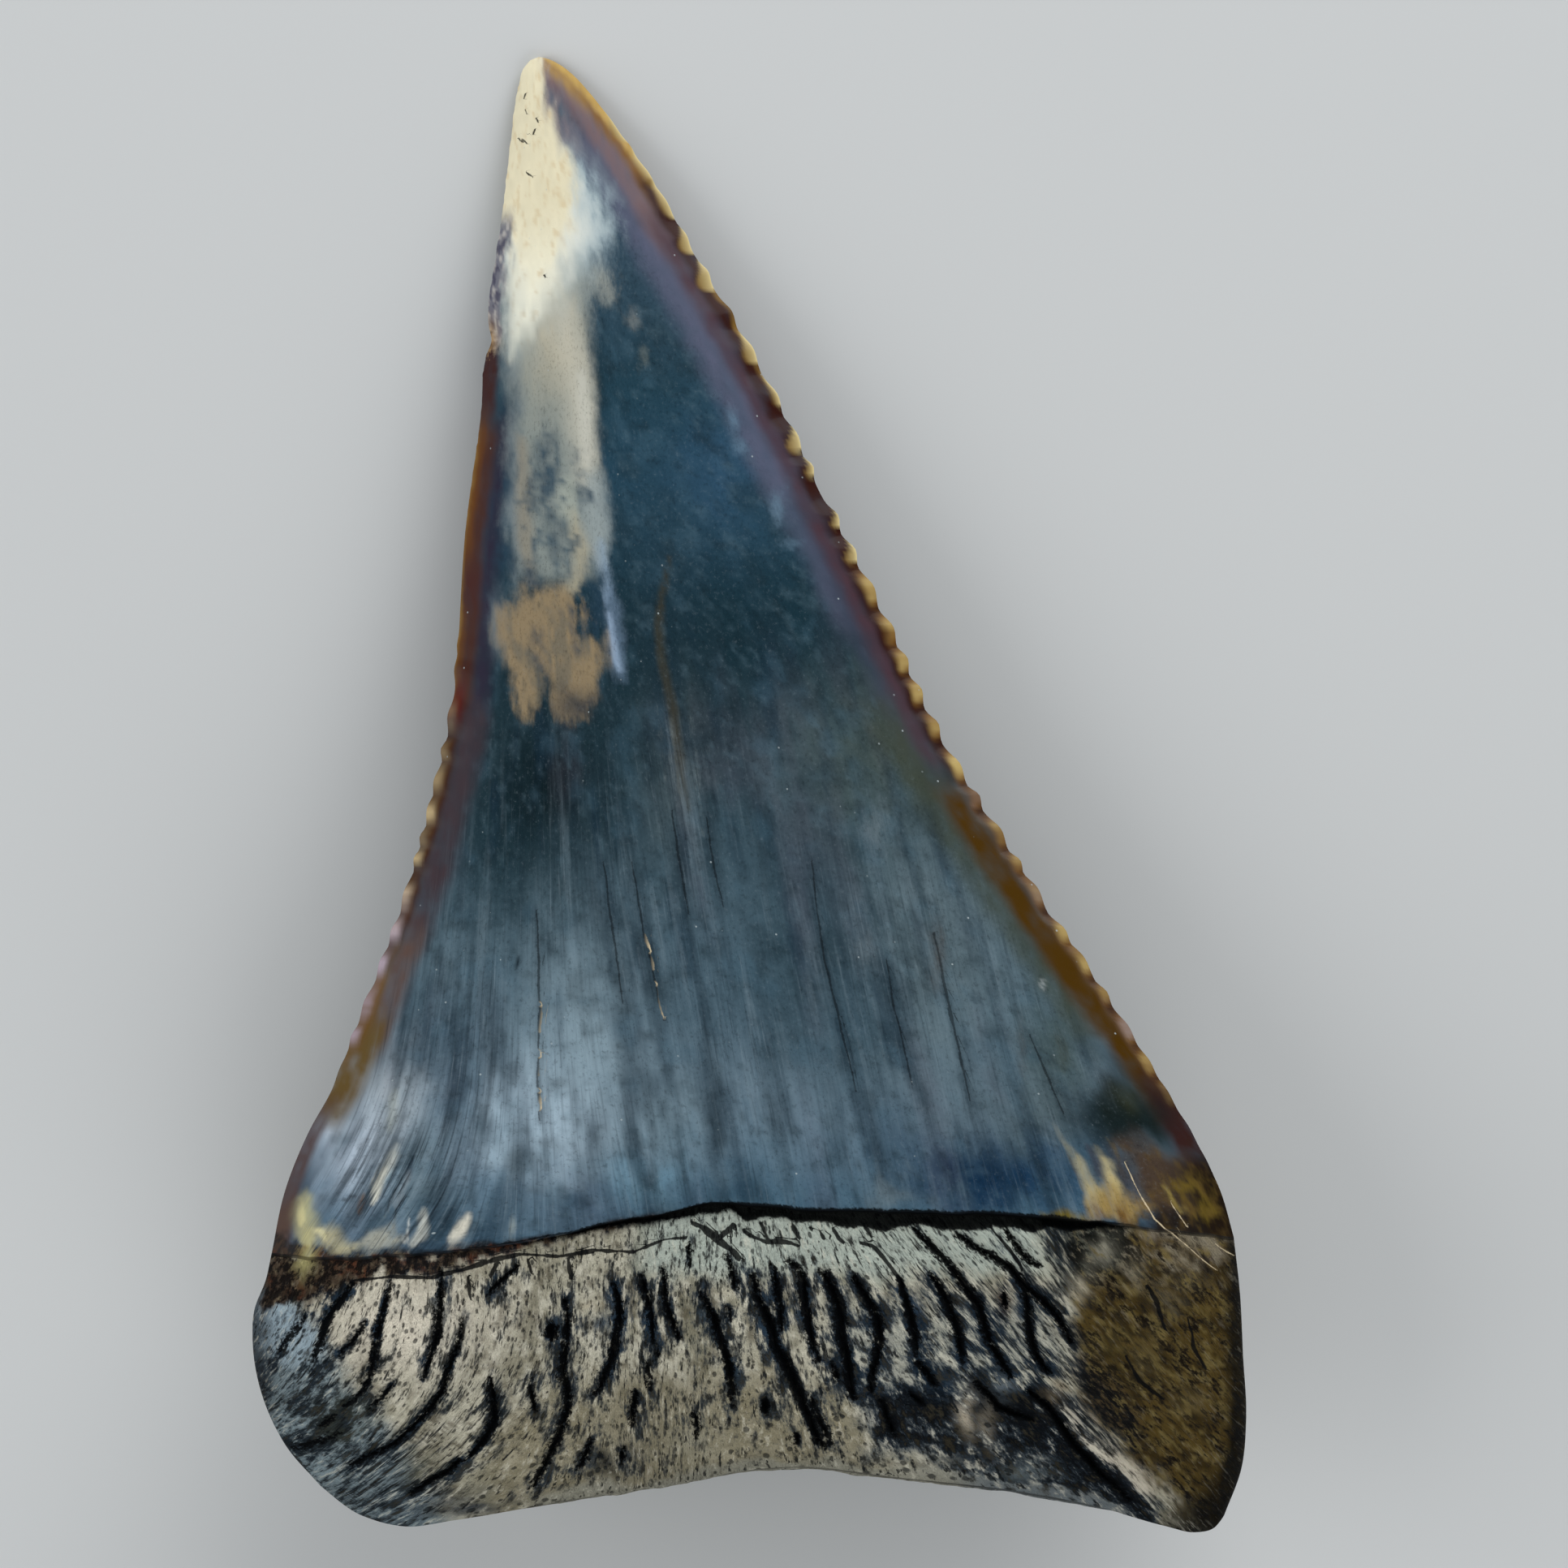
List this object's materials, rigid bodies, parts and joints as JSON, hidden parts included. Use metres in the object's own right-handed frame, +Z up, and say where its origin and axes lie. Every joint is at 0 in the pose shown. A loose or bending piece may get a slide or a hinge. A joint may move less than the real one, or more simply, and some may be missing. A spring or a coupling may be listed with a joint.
{
  "type": "fossil shark tooth",
  "caption": "Fossil tooth of a great white shark: broad flat triangular crown with serrated cutting edges, on a thick porous root with a bulged back, lying face up.",
  "frame": {"origin": "middle of the lying tooth's outline, on the surface that it rests on", "axes": "+Z up out of the flat outer face, +Y from the root towards the tip, +X to the right of the outer face seen with its tip up"},
  "size_m": [0.0318, 0.0468, 0.0088],
  "materials": {
    "fossil_tooth": "polished enamel crown, matt porous root"
  },
  "bodies": {
    "root": {"tooth": "fossil_tooth"}
  },
  "joints": []
}
